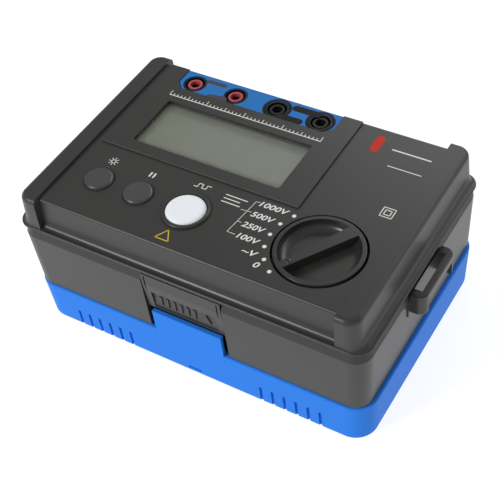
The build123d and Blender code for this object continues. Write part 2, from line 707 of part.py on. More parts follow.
def save_shells():
    write(lower_shell(), "lower_shell")
    write(upper_shell(), "upper_shell")
    outer_w = cavity_w + tongue_thickness
    outer_d = cavity_d + tongue_thickness
    low = part_z + tongue_height
    seal = slab(outer_w, outer_d, lip_radius - 1, low, low + seal_height)
    seal -= slab(cavity_w, cavity_d, lip_radius - 2, low - 1, low + seal_height + 1)
    write(seal, "case_seal")
    write(strap_bracket(1), "strap_bracket_right")
    write(strap_bracket(-1), "strap_bracket_left")


def save_terminals():
    plate = label_outline(0.3, label_thickness, panel_z + label_thickness)
    for x in socket_places:
        plate -= rod(x, socket_y, panel_z - 1, panel_z + 2, socket_radius + 0.1)
    plate -= block(-half_w, half_w, panel_half_d - panel_round, half_d, panel_z - 1, panel_z + 2)
    write(plate, "terminal_label")
    names = ("line", "volts", "guard", "earth")
    for x, name in zip(socket_places, names):
        write(socket_body(x), f"socket_{name}")
        write(socket_sleeve(x), f"sleeve_{name}")
    write(Compound(children=[socket_contact(x) for x in socket_places]), "socket_contacts")


def save_display():
    x, y = left_group_x, window_y
    lens_top = plateau_z - 1.9
    write(slab(window_width / 2 + 1.7, window_depth / 2 + 1.7, 1.8, lens_top - 1.5, lens_top, x, y),
          "display_lens")
    frame_low = glass_top_z - 5.2
    frame = slab(window_width / 2 + 4.5, window_depth / 2 + 3.0, 2.0, frame_low, under_panel_z - 1.7, x, y)
    frame -= slab(window_width / 2 + 0.9, window_depth / 2 + 0.9, 1.0, frame_low + 1.2, panel_z, x, y)
    for end in (-1, 1):
        slot_y = y + end * (window_depth / 2 - 1.6)
        frame -= block(x - window_width / 2 + 4, x + window_width / 2 - 4, slot_y - 1.2, slot_y + 1.2,
                       frame_low - 1, frame_low + 2)
    write(frame, "display_frame")
    glass_w, glass_d = window_width / 2 + 0.6, window_depth / 2 + 0.6
    write(slab(glass_w, glass_d, 0.6, glass_top_z - 2.0, glass_top_z, x, y), "display_glass")
    write(slab(glass_w - 1, window_depth / 2 - 3.4, 0.6, glass_top_z - 3.9, glass_top_z - 2.05, x, y),
          "backlight_plate")
    strips = []
    for end in (-1, 1):
        slot_y = y + end * (window_depth / 2 - 1.6)
        strips.append(block(x - window_width / 2 + 5, x + window_width / 2 - 5, slot_y - 1.0, slot_y + 1.0,
                            board_height, glass_top_z - 2.0))
    write(Compound(children=strips), "contact_strips")


def save_buttons():
    write(round_button(light_x, small_button_radius, small_button_rise, 1.5, small_button_travel),
          "light_button")
    write(round_button(hold_x, small_button_radius, small_button_rise, 1.5, small_button_travel),
          "hold_button")
    write(round_button(test_x, test_button_radius, test_button_rise, 2.4, test_button_travel),
          "test_button")
    flange_low = under_panel_z - 1.8 - button_flange
    for x, name in ((light_x, "light"), (hold_x, "hold"), (test_x, "test")):
        write(coil(x, button_y, board_height + 0.05, flange_low - 0.05, 5.4, spring_wire, 4),
              f"{name}_spring")
    write(Compound(children=[key_switch(x) for x in (light_x, hold_x)]), "key_switches")
    write(key_switch(test_x), "test_switch")


def save_selector():
    write(selector_knob(), "selector_knob")
    write(switch_rotor(), "switch_rotor")
    write(detent_balls(), "detent_balls")
    write(detent_springs(), "detent_springs")
    write(detent_ring(), "detent_ring")
    clip = tube(0, 0, clip_z0 + 0.05, clip_z1 - 0.05, shaft_radius + 2.4, shaft_radius - 0.55)
    clip -= block(0, 12, -2.2, 2.2, clip_z0 - 1, clip_z1 + 1)
    write(Pos(knob_x, knob_y, 0) * Rot(0, 0, pointer_angle) * clip, "shaft_clip")


def save_boards():
    low = board_height - board_thickness
    board = block(-board_w, board_w, board_y0, board_y1, low, board_height)
    board = fillet(board.edges().filter_by(Axis.Z), board_corner)
    for x, y in board_posts:
        board -= rod(x, y, low - 1, board_height + 1, board_hole)
    write(board, "main_board")
    screws = []
    for x, y in board_posts:
        thread = rod(x, y, low - 0.1, board_height + 5, screw_pilot - running)
        screws.append(rod(x, y, low - 1.6, low, 2.6) + thread)
    write(Compound(children=screws), "board_screws")
    packages = [block(x - w / 2, x + w / 2, y - d / 2, y + d / 2, low - h, low) for x, y, w, d, h in chips]
    write(Compound(children=packages), "main_board_chips")


def save_power_board():
    top = power_board_height
    low = top - board_thickness
    power_w, power_d = power_post_x + 6, power_post_y + 5
    board = block(-power_w, power_w, -power_d, power_d, low, top)
    board = fillet(board.edges().filter_by(Axis.Z), board_corner)
    screws = []
    for x, y in corners(power_post_x, power_post_y):
        board -= rod(x, y, low - 1, top + 1, board_hole)
        screws.append(rod(x, y, top, top + 1.6, 2.6) + rod(x, y, low - 6, top + 0.1, screw_pilot - running))
    write(board, "power_board")
    write(Compound(children=screws), "power_board_screws")
    # transformer: a frame-shaped core whose middle limb carries the winding
    x0, x1 = core_x - core_width / 2, core_x + core_width / 2
    limb = core_limb / 2
    window_x, window_y_half = core_width / 2 - core_limb, core_depth / 2 - core_limb
    core = block(x0, x1, -core_depth / 2, core_depth / 2, top + 2, top + 2 + core_height)
    core -= block(x0 + core_limb, x1 - core_limb, -window_y_half, window_y_half, top, top + core_height + 4)
    core += block(core_x - limb, core_x + limb, -core_depth / 2, core_depth / 2, top + 2, top + 2 + core_height)
    write(core, "transformer_core")
    coil_x, coil_y = window_x - 0.3, window_y_half - 0.3
    winding = block(core_x - coil_x, core_x + coil_x, -coil_y, coil_y, top, top + winding_height)
    winding -= block(core_x - limb - 0.1, core_x + limb + 0.1, -core_depth, core_depth,
                     top - 1, top + core_height + 4)
    write(winding, "transformer_winding")
    write(Compound(children=[rod(x, capacitor_y, top, top + capacitor_height, capacitor_radius)
                             for x in capacitor_x]), "reservoir_capacitors")
    write(block(*relay_box, top, top + relay_height), "output_relay")
    write(tube(buzzer_x, buzzer_y, top, top + buzzer_height, buzzer_radius, 1.0), "buzzer")
    along_x = Pos(fuse_x, fuse_y, top + fuse_rise) * Rot(0, 90, 0)
    write(along_x * Cylinder(fuse_radius, fuse_length), "fuse")
    clips = []
    for end in (-1, 1):
        x = fuse_x + end * (fuse_length / 2 - 1.5)
        cradle = block(x - 1.5, x + 1.5, fuse_y - 3.6, fuse_y + 3.6, top, top + 6.5)
        cradle -= along_x * Cylinder(fuse_radius + 0.02, fuse_length + 4)
        clips.append(cradle - block(x - 3, x + 3, fuse_y - 2.2, fuse_y + 2.2, top + fuse_rise, top + 8))
    write(Compound(children=clips), "fuse_clips")


def save_battery():
    low = base_z + door_thickness + 0.1
    high = base_z + wall + 2 * cell_radius + 2.5
    holder = block(-holder_w + sliding, holder_w - sliding, -holder_d + sliding, holder_d - sliding, low, high)
    holder -= block(-holder_w + 1.5, holder_w - 1.5, -holder_d + 0.5, holder_d - 0.5, base_z, high - 1.6)
    holder += block(-0.6, 0.6, -holder_d + 0.4, holder_d - 0.4, low, high - 1)
    write(holder, "battery_holder")
    mid = base_z + door_thickness + 0.3 + cell_radius
    cells, plates = [], []
    for side in (-1, 1):
        centre_x = side * (cell_length / 2 + 1.3)
        for row in range(cell_rows):
            y = (row - (cell_rows - 1) / 2) * cell_pitch
            flip = 1 if row % 2 else -1
            body = Pos(centre_x, y, mid) * Rot(0, 90, 0) * Cylinder(cell_radius, cell_length - 1.8)
            tip = Pos(centre_x + flip * (cell_length / 2 - 0.4), y, mid) * Rot(0, 90, 0) * Cylinder(2.7, 1.2)
            cells.append(body + tip)
        for pair in range(cell_rows // 2):
            y = (2 * pair + 0.5 - (cell_rows - 1) / 2) * cell_pitch
            x = side * (holder_w - 1.5)
            plates.append(block(x, x - side * 0.4, y - cell_pitch * 0.8, y + cell_pitch * 0.8,
                                mid - 4.5, mid + 4.5))
    write(Compound(children=cells), "battery_cells")
    write(Compound(children=plates), "battery_contacts")
    door = block(-door_w + sliding, door_w - sliding, -door_d + sliding, door_d - sliding,
                 base_z, base_z + door_thickness - 0.1)
    door = fillet(door.edges().filter_by(Axis.Z), 1.5)
    door -= rod(door_screw_x, 0, base_z - 1, base_z + 4, screw_radius + 0.2)
    door -= rod(door_screw_x, 0, base_z - 1, base_z + 1.2, screw_head_radius - 0.4)
    write(door, "battery_door")
    screw = rod(door_screw_x, 0, base_z + 0.1, base_z + 1.2, screw_head_radius - 0.6)
    screw += rod(door_screw_x, 0, base_z + 1.1, base_z + 7.5, screw_radius - running)
    screw -= block(door_screw_x - 2.2, door_screw_x + 2.2, -0.4, 0.4, base_z, base_z + 0.7)
    write(screw, "door_screw")


def save_fixings():
    screws = []
    for x, y in corners(boss_x, boss_y):
        one = rod(x, y, base_z + 1.0, base_z + 4.0, screw_head_radius)
        one += rod(x, y, base_z + 3.9, part_z + 10, screw_radius - 0.05)
        one -= block(x - 2.2, x + 2.2, y - 0.5, y + 0.5, base_z, base_z + 2.0)
        one -= block(x - 0.5, x + 0.5, y - 2.2, y + 2.2, base_z, base_z + 2.0)
        screws.append(one)
    write(Compound(children=screws), "case_screws")
    feet = []
    for x, y in corners(foot_x, foot_y):
        foot = rod(x, y, base_z - foot_height, base_z + 0.75, foot_radius - 0.1)
        feet.append(fillet(edges_near(foot, "Z", base_z - foot_height), 0.8))
    write(Compound(children=feet), "rubber_feet")


def save_catch():
    write(catch_plate(), "catch_plate")
    pin = Pos(0, catch_pin_y, catch_pin_z) * Rot(0, 90, 0) * Cylinder(catch_pin_radius, catch_bay_width + 1.6)
    write(pin, "catch_pin")
    write(catch_spring(), "catch_spring")


save_lid()
save_shells()
save_terminals()
save_display()
save_buttons()
save_selector()
save_boards()
save_power_board()
save_battery()
save_fixings()
save_catch()
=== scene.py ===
# %% [markdown]
# # Insulation resistance tester in its storage lid
# The tester is a dark moulded case with a flat panel, standing in the blue lid that covers the panel when
# the tester is carried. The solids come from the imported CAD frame, so nothing has to be placed by eye.
# This file gives every surface its finish, adds the printing on the panel and sets up the picture.

# %% Load the frame
import bpy
import bmesh
import math
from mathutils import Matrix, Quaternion, Vector


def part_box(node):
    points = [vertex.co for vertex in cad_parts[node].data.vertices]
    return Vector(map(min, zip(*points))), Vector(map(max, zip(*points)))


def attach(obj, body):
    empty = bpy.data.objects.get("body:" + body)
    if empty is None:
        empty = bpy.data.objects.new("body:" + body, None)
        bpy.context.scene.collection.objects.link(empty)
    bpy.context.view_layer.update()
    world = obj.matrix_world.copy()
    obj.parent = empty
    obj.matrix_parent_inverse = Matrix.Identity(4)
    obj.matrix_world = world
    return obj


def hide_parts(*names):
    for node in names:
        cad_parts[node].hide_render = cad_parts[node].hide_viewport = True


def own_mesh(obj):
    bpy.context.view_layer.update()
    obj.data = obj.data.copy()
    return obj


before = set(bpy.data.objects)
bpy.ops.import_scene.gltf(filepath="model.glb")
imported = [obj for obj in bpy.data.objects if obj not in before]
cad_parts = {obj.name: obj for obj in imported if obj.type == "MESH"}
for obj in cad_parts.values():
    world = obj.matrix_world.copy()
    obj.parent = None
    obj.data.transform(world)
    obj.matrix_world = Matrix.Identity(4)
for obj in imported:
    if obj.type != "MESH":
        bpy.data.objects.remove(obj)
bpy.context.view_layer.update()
MM = 0.001

# %% [markdown]
# ## Camera
# The view looks down on the near right corner. A long lens keeps the upright edges almost parallel. The
# camera is aimed at a point with a track quaternion, and then rolled a few degrees about its own axis.

# %% Camera
def add_object(name, data):
    """Makes an object from this data and puts it in the scene."""
    made = bpy.data.objects.new(name, data)
    bpy.context.scene.collection.objects.link(made)
    return made


SENSOR_WIDTH = 36.0
LENS = 81.1
CAMERA_PLACE = Vector((0.24518, -0.33608, 0.47179))
CAMERA_AIM = Vector((-0.0360, 0.0460, -0.0294))
CAMERA_ROLL = math.radians(-7.8)
camera_data = bpy.data.cameras.new("camera")
camera_data.sensor_width = SENSOR_WIDTH
camera_data.lens = LENS
camera = add_object("camera", camera_data)
camera.location = CAMERA_PLACE
camera.rotation_mode = "QUATERNION"
look = (CAMERA_AIM - CAMERA_PLACE).to_track_quat("-Z", "Y")
camera.rotation_quaternion = look @ Quaternion((0, 0, 1), CAMERA_ROLL)
bpy.context.scene.camera = camera
print("camera looks", (CAMERA_AIM - CAMERA_PLACE).normalized())

# %% [markdown]
# ## Shader arithmetic
# A procedural material is mostly arithmetic on textures. Wiring Math nodes by hand hides that, so a small
# class wraps a socket and turns `+ - * /` into Math nodes. The reflected forms make `1 - mask` work too.
# Every other node comes from one method, which sets the node's own settings before its sockets.

# %% A socket that can be calculated with
class Value:
    """An output socket of a material, ready for arithmetic."""

    def __init__(self, finish, socket):
        self.finish = finish
        self.socket = socket

    def maths(self, operation, first, second):
        return self.finish.node("ShaderNodeMath", {"operation": operation}, {0: first, 1: second})

    def __add__(self, other):
        return self.maths("ADD", self, other)

    def __radd__(self, other):
        return self.maths("ADD", other, self)

    def __sub__(self, other):
        return self.maths("SUBTRACT", self, other)

    def __rsub__(self, other):
        return self.maths("SUBTRACT", other, self)

    def __mul__(self, other):
        return self.maths("MULTIPLY", self, other)

    def __rmul__(self, other):
        return self.maths("MULTIPLY", other, self)

    def clamped(self):
        return self.finish.node("ShaderNodeClamp", {}, {"Value": self})


class Finish:
    """One material, built round a Principled shader."""

    def __init__(self, name, **fixed):
        self.material = bpy.data.materials.new(name)
        self.material.use_nodes = True
        self.tree = self.material.node_tree
        self.tree.nodes.clear()
        self.shader = self.tree.nodes.new("ShaderNodeBsdfPrincipled")
        output = self.tree.nodes.new("ShaderNodeOutputMaterial")
        self.tree.links.new(self.shader.outputs[0], output.inputs["Surface"])
        for key, value in fixed.items():
            self.shader.inputs[key.replace("_", " ")].default_value = value
        self.place = self.node("ShaderNodeTexCoord", {}, {}, "Object")

    def node(self, kind, settings, values, output=0):
        made = self.tree.nodes.new(kind)
        for key, value in settings.items():
            if key == "stops":
                for spare in range(len(value) - 2):
                    made.color_ramp.elements.new(0.5)
                for stop, (position, colour) in zip(made.color_ramp.elements, value):
                    stop.position = position
                    stop.color = colour
            else:
                setattr(made, key, value)
        for key, value in values.items():
            if isinstance(value, Value):
                self.tree.links.new(value.socket, made.inputs[key])
            else:
                made.inputs[key].default_value = value
        return Value(self, made.outputs[output])

    def feed(self, **links):
        for key, value in links.items():
            self.tree.links.new(value.socket, self.shader.inputs[key.replace("_", " ")])
        return self


print("shader classes ready")

# %% [markdown]
# ## Building blocks shared by the finishes
# Moulded plastic is never one flat colour: the pellets melt unevenly, hands polish the corners and the
# mould's spark-eroded skin breaks up the gloss. The paler corners come partly from that polishing and are
# partly a painted highlight along the edges. Noise in object coordinates is measured in metres here, so
# its scale is simply one over the size of a grain.

# %% Noise, mixes, bumps and the edge mask for paler corners and painted highlight
def grain(finish, size, detail=2.0, stretch=(1, 1, 1)):
    """Cloudy noise from 0 to 1 whose grains are about this many metres across."""
    place = finish.node("ShaderNodeMapping", {}, {"Vector": finish.place, "Scale": stretch})
    return finish.node("ShaderNodeTexNoise", {},
                       {"Vector": place, "Scale": 1.0 / size, "Detail": detail})


def contrast(finish, value, low, high):
    """Stretches the part of a value between low and high to run from 0 to 1."""
    return finish.node("ShaderNodeMapRange", {"interpolation_type": "SMOOTHSTEP"},
                       {"Value": value, "From Min": low, "From Max": high})


def blend(finish, amount, first, second):
    """Mixes two colours."""
    return finish.node("ShaderNodeMix", {"data_type": "RGBA"}, {0: amount, 6: first, 7: second}, 2)


def bump(finish, height, depth, strength=0.5):
    """Turns a height into a surface normal; depth is in metres."""
    return finish.node("ShaderNodeBump", {},
                       {"Height": height, "Distance": depth, "Strength": strength})


def wear_and_highlight_edges(finish, radius, sharpness=0.12):
    """1 along edges, 0 on open faces: a rounded normal differs from the true one at an edge."""
    soft = finish.node("ShaderNodeBevel", {"samples": 4}, {"Radius": radius})
    true = finish.node("ShaderNodeNewGeometry", {}, {}, "Normal")
    match = finish.node("ShaderNodeVectorMath", {"operation": "DOT_PRODUCT"},
                        {0: soft, 1: true}, "Value")
    return contrast(finish, 1 - match, 0.0, sharpness)


def colour(red, green, blue):
    return (red, green, blue, 1.0)


def scaled(rgba, factor):
    return (rgba[0] * factor, rgba[1] * factor, rgba[2] * factor, 1.0)


# %% [markdown]
# ## Moulded plastics
# One recipe makes every plastic: a colour that drifts a little, a roughness that drifts with it, a fine skin
# from the mould and slightly paler, shinier corners where fingers and benches polish them; the paler colour
# there is also a painted highlight along the edges.

# %% Recipe for moulded plastic
CLOUD_SIZE = 0.03            # metres, like every grain below
EDGE_PATCH_SIZE = 0.006
EDGE_RADIUS = 0.0006
# corners turn paler by this factor: partly polishing, partly a painted highlight along the edges
WEAR_AND_HIGHLIGHT_PALER = 1.7


def moulded(name, base, rough, skin=0.00025, skin_depth=0.00002, wear_and_highlight=0.35, drift=0.10,
            specular=0.5):
    """A moulding: skin is the size of its grain; the share setting makes corners paler, as polishing and as a
    painted highlight.
    """
    finish = Finish(name, IOR=1.5)
    finish.shader.inputs["Specular IOR Level"].default_value = specular
    clouds = grain(finish, CLOUD_SIZE, 4.0)
    fine = grain(finish, skin, 2.0)
    edges = wear_and_highlight_edges(finish, EDGE_RADIUS)
    body = blend(finish, clouds, scaled(base, 1 - drift), scaled(base, 1 + drift))
    # paler, shinier corners: polishing, and a painted highlight along the edges
    rubbed_and_highlit = edges * contrast(finish, grain(finish, EDGE_PATCH_SIZE, 3.0), 0.35, 0.7) * wear_and_highlight
    worn_and_highlit = blend(finish, rubbed_and_highlit, body, scaled(base, WEAR_AND_HIGHLIGHT_PALER))
    rough_map = rough + clouds * 0.08 - rubbed_and_highlit * 0.12
    finish.feed(Base_Color=worn_and_highlit, Roughness=rough_map.clamped(),
                Normal=bump(finish, fine, skin_depth))
    return finish.material


CASE_GREY = colour(0.036, 0.035, 0.0335)
LID_BLUE = colour(0.028, 0.205, 0.76)
materials = {
    "case": moulded("case_moulding", CASE_GREY, 0.31, specular=0.38),
    "lid": moulded("lid_moulding", LID_BLUE, 0.36, wear_and_highlight=0.15, drift=0.04, specular=0.03),
    "knob": moulded("knob_moulding", colour(0.025, 0.0245, 0.023), 0.27),
    "key": moulded("dark_key", colour(0.055, 0.056, 0.058), 0.28),
    "white": moulded("white_key", colour(0.90, 0.93, 0.97), 0.38, wear_and_highlight=0.0, drift=0.02),
    "black": moulded("black_moulding", colour(0.006, 0.006, 0.007), 0.32, specular=0.25),
    "red": moulded("red_sleeve", colour(0.40, 0.060, 0.075), 0.38, wear_and_highlight=0.1),
    "cream": moulded("switch_moulding", colour(0.62, 0.58, 0.48), 0.45, wear_and_highlight=0.1),
    "rubber": moulded("seal_rubber", colour(0.018, 0.018, 0.018), 0.78,
                      skin=0.0006, skin_depth=0.00006),
}
print("plastics", sorted(materials))

# %% [markdown]
# ## Metals
# Springs, screws and contacts are bare metal. Plated screws are a little blotchy; drawn wire and turned brass
# carry fine lines along their length, which stretched noise gives.

# %% Recipe for bare metal
STREAK_SIZE = 0.0004
STAIN_SIZE = 0.004
STAIN_DARKER = 0.72


def bare_metal(name, base, rough, stretch=(1, 1, 1)):
    finish = Finish(name, Metallic=1.0)
    streaks = grain(finish, STREAK_SIZE, 3.0, stretch)
    stains = contrast(finish, grain(finish, STAIN_SIZE, 4.0), 0.45, 0.75)
    tint = blend(finish, stains, base, scaled(base, STAIN_DARKER))
    rough_map = rough + streaks * 0.12 + stains * 0.1
    finish.feed(Base_Color=tint, Roughness=rough_map.clamped(),
                Normal=bump(finish, streaks, 0.00001, 0.3))
    return finish.material


materials["steel"] = bare_metal("spring_steel", colour(0.56, 0.56, 0.58), 0.24, (1, 1, 0.1))
materials["zinc"] = bare_metal("zinc_plate", colour(0.62, 0.62, 0.58), 0.30)
materials["brass"] = bare_metal("turned_brass", colour(0.78, 0.57, 0.24), 0.22, (1, 1, 8))
# painted shade: the socket contacts are coloured nearly black for the shade deep inside the socket bores
materials["contact"] = bare_metal("contact_painted_shade", colour(0.075, 0.068, 0.060), 0.38, (1, 1, 8))
print("metals added")

# %% [markdown]
# ## Display
# The display is a liquid crystal cell behind a clear window. Unlit, its polariser is grey-green; the colour
# runs from a darker olive at the left edge to a paler grey-green from the middle on. The window is made
# see-through with a low alpha, because real refraction through a thin flat sheet changes almost nothing.

# %% Display cell and window
def display_cell():
    finish = Finish("display_cell", Roughness=0.32)
    low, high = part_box("display_glass")
    across = finish.node("ShaderNodeSeparateXYZ", {}, {"Vector": finish.place}, "X")
    side = contrast(finish, across, low.x, (low.x + high.x) / 2)
    clouds = grain(finish, CLOUD_SIZE, 2.0)
    base = blend(finish, side, colour(0.085, 0.092, 0.026), colour(0.128, 0.136, 0.108))
    tint = blend(finish, clouds * 0.4, base, colour(0.14, 0.15, 0.12))
    finish.feed(Base_Color=tint, Normal=bump(finish, grain(finish, 0.0003), 0.000004, 0.2))
    return finish.material


def clear_window():
    finish = Finish("clear_window", Roughness=0.06, IOR=1.49)
    smears = contrast(finish, grain(finish, 0.012, 5.0, (1, 3, 1)), 0.45, 0.8)
    finish.feed(Roughness=(0.05 + smears * 0.12).clamped(),
                Alpha=(0.13 + smears * 0.02).clamped())
    finish.shader.inputs["Base Color"].default_value = colour(0.60, 0.64, 0.58)
    return finish.material


materials["cell"] = display_cell()
materials["window"] = clear_window()
print("display finishes added")

# %% [markdown]
# ## Inside parts
# Boards, winding tape, cells and glass are never seen with the case closed, but the parts can be taken out
# of this model one by one, so each still gets its own finish.

# %% Circuit board, tape, ferrite, cells, fuse
def circuit_board():
    finish = Finish("circuit_board", Coat_Weight=0.3)
    tracks = finish.node("ShaderNodeTexBrick", {"offset": 0.5},
                         {"Vector": finish.place, "Scale": 160.0, "Mortar Size": 0.03,
                          "Color1": colour(0.012, 0.105, 0.035), "Color2": colour(0.010, 0.085, 0.030),
                          "Mortar": colour(0.035, 0.22, 0.08)})
    weave = finish.node("ShaderNodeTexWave", {"bands_direction": "X"},
                        {"Vector": finish.place, "Scale": 900.0}, "Fac")
    finish.feed(Base_Color=tracks, Roughness=(0.32 + weave * 0.08).clamped(),
                Normal=bump(finish, weave, 0.00001, 0.3))
    return finish.material


def wrapped(name, base, turns):
    """Tape or a printed jacket laid on in bands."""
    finish = Finish(name)
    bands = finish.node("ShaderNodeTexWave", {"bands_direction": "Z"},
                        {"Vector": finish.place, "Scale": turns}, "Fac")
    finish.feed(Base_Color=blend(finish, bands, scaled(base, 0.8), base),
                Roughness=(0.35 + bands * 0.1).clamped(), Normal=bump(finish, bands, 0.00005, 0.4))
    return finish.material


def cell_jacket():
    """Dark steel jacket with a copper band at one end of each cell."""
    finish = Finish("cell_jacket", Metallic=0.7)
    across = finish.node("ShaderNodeSeparateXYZ", {}, {"Vector": finish.place}, "X")
    from_middle = finish.node("ShaderNodeMath", {"operation": "ABSOLUTE"}, {0: across})
    band = contrast(finish, from_middle, 0.036, 0.0365)
    finish.feed(Base_Color=blend(finish, band, colour(0.02, 0.02, 0.022), colour(0.60, 0.27, 0.10)),
                Roughness=(0.25 + grain(finish, 0.002) * 0.15).clamped())
    return finish.material


def fuse_tube():
    """Glass tube with a metal cap at each end."""
    finish = Finish("fuse_tube", Roughness=0.15)
    low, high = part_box("fuse")
    across = finish.node("ShaderNodeSeparateXYZ", {}, {"Vector": finish.place}, "X")
    middle = (low.x + high.x) / 2
    offset = finish.node("ShaderNodeMath", {"operation": "ABSOLUTE"}, {0: across - middle})
    cap = contrast(finish, offset, 0.0050, 0.0052)
    glass_or_cap = blend(finish, cap, colour(0.75, 0.80, 0.80), colour(0.62, 0.60, 0.55))
    finish.feed(Base_Color=glass_or_cap, Metallic=cap, Alpha=(0.35 + cap * 0.65).clamped())
    return finish.material


materials["board"] = circuit_board()
materials["tape"] = wrapped("winding_tape", colour(0.62, 0.42, 0.04), 420.0)
materials["sleeve"] = wrapped("capacitor_sleeve", colour(0.02, 0.03, 0.12), 90.0)
materials["ferrite"] = moulded("ferrite", colour(0.030, 0.030, 0.032), 0.7,
                               skin=0.0008, skin_depth=0.0001, wear_and_highlight=0.1)
materials["cell_jacket"] = cell_jacket()
materials["fuse"] = fuse_tube()
print("inside finishes added")

# %% [markdown]
# ## Printing inks
# The panel's marks are pad printed: a thin matt film, slightly uneven at its edges. A little noise in the
# colour keeps the white from looking like paper.

# %% Inks and the terminal label
INK_SPECULAR = 0.2
BLOTCH_SIZE = 0.0015


def ink(name, base):
    finish = Finish(name)
    finish.shader.inputs["Specular IOR Level"].default_value = INK_SPECULAR
    blotch = grain(finish, BLOTCH_SIZE, 3.0)
    finish.feed(Base_Color=blend(finish, blotch, scaled(base, 0.86), base),
                Roughness=(0.5 + blotch * 0.15).clamped(),
                Normal=bump(finish, grain(finish, 0.0002), 0.000005, 0.4))
    return finish.material


materials["white_ink"] = ink("white_ink", colour(0.86, 0.86, 0.84))
materials["red_ink"] = ink("red_ink", colour(0.62, 0.03, 0.02))
materials["yellow_ink"] = ink("yellow_ink", colour(0.72, 0.50, 0.05))
materials["grey_ink"] = ink("grey_ink", colour(0.070, 0.072, 0.080))
materials["black_ink"] = ink("black_ink", colour(0.012, 0.012, 0.014))
materials["label"] = ink("label_film", colour(0.022, 0.190, 0.56))
print("inks added")

# %% [markdown]
# ## Dressing the CAD nodes
# A node keeps its shape and only gets a better material in its slots. A table from node to finish says
# it all.

# %% Assign the finishes
NODE_FINISH = {
    "storage_lid": "lid", "upper_shell": "case", "lower_shell": "case", "case_seal": "rubber",
    "strap_bracket_right": "case", "strap_bracket_left": "case", "terminal_label": "label",
    "socket_line": "black", "socket_volts": "black", "socket_guard": "black", "socket_earth": "black",
    "sleeve_line": "red", "sleeve_volts": "red", "sleeve_guard": "black", "sleeve_earth": "black",
    "socket_contacts": "contact", "display_lens": "window", "display_frame": "black",
    "display_glass": "cell", "backlight_plate": "white", "contact_strips": "rubber",
    "light_button": "key", "hold_button": "key", "test_button": "white",
    "light_spring": "steel", "hold_spring": "steel", "test_spring": "steel",
    "key_switches": "black", "test_switch": "black", "selector_knob": "knob", "switch_rotor": "cream",
    "detent_balls": "steel", "detent_springs": "steel", "detent_ring": "cream", "shaft_clip": "steel",
    "main_board": "board", "board_screws": "zinc", "main_board_chips": "black",
    "power_board": "board", "power_board_screws": "zinc", "transformer_core": "ferrite",
    "transformer_winding": "tape", "reservoir_capacitors": "sleeve", "output_relay": "black",
    "buzzer": "black", "fuse": "fuse", "fuse_clips": "brass", "battery_holder": "black",
    "battery_cells": "cell_jacket", "battery_contacts": "steel", "battery_door": "case",
    "door_screw": "zinc", "case_screws": "zinc", "rubber_feet": "rubber",
    "catch_plate": "case", "catch_pin": "steel", "catch_spring": "steel",
}
for node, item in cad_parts.items():
    wanted = materials[NODE_FINISH[node]]
    if not item.data.materials:
        item.data.materials.append(wanted)
    for slot in item.material_slots:
        slot.material = wanted
print("dressed", len(NODE_FINISH), "nodes")

# %% [markdown]
# ## Where things are
# Print has to line up with the moulding, so the marks that belong to a part are placed from the boxes of the
# CAD nodes: the dial dots round the knob's middle, the keys' signs behind the keys, the socket rings round
# the sockets. The other marks are given at fixed places.

# %% Heights and middles
def middle(node):
    low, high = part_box(node)
    return (low + high) / 2


CHEEK_RISE = 1.6 * MM
PLATEAU_RISE = 1.0 * MM
panel_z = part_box("upper_shell")[1].z - CHEEK_RISE
plateau_z = panel_z + PLATEAU_RISE
label_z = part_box("terminal_label")[1].z
knob_at = middle("selector_knob")
print("panel at", round(panel_z, 5), "knob at", knob_at)

# %% [markdown]
# ## Springs under the keys
# Each key stands on a coil. The coil is a tube swept along a helix, and it is made here in place of the
# CAD one.

# %% Key springs
WIRE_RADIUS = 0.3 * MM
COIL_TURNS = 4
STEPS_PER_TURN = 28
WIRE_SIDES = 10


def key_spring(name, node):
    """A coil in place of this node."""
    low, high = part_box(node)
    centre = (low + high) / 2
    radius = (high.x - low.x) / 2 - WIRE_RADIUS
    climb = high.z - low.z - 2 * WIRE_RADIUS
    steps = COIL_TURNS * STEPS_PER_TURN
    slope = climb / (2 * math.pi * COIL_TURNS * radius)
    build = bmesh.new()
    hoops = []
    for k in range(steps + 1):
        angle = 2 * math.pi * COIL_TURNS * k / steps
        outward = Vector((math.cos(angle), math.sin(angle), 0))
        along = Vector((-math.sin(angle), math.cos(angle), slope)).normalized()
        upward = outward.cross(along)
        place = Vector((centre.x, centre.y, low.z + WIRE_RADIUS + climb * k / steps)) + outward * radius
        turns = [2 * math.pi * side / WIRE_SIDES for side in range(WIRE_SIDES)]
        hoops.append([build.verts.new(place + WIRE_RADIUS * (math.cos(turn) * outward
                                                             + math.sin(turn) * upward))
                      for turn in turns])
    for first, second in zip(hoops, hoops[1:]):
        for side in range(WIRE_SIDES):
            after = (side + 1) % WIRE_SIDES
            face = build.faces.new((first[side], first[after], second[after], second[side]))
            face.smooth = True
    build.faces.new(hoops[0])
    build.faces.new(hoops[-1])
    bmesh.ops.recalc_face_normals(build, faces=build.faces)
    mesh = bpy.data.meshes.new(name)
    build.to_mesh(mesh)
    build.free()
    mesh.materials.append(materials["steel"])
    coil = add_object(name, mesh)
    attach(coil, "case")
    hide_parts(node)
    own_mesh(coil)


for key, travel in (("light", 1.5 * MM), ("hold", 1.5 * MM), ("test", 2.5 * MM)):
    key_spring(key + "_coil", key + "_spring")
print("springs made")

# %% [markdown]
# ## Marks as thin solids
# Each mark is a flat outline given a few hundredths of a millimetre of thickness, a third of it sunk in
# the surface. Real geometry keeps its edge sharp in any export, which a texture would not.

# %% Making marks
INK_SINK = 0.02 * MM
INK_RISE = 0.04 * MM


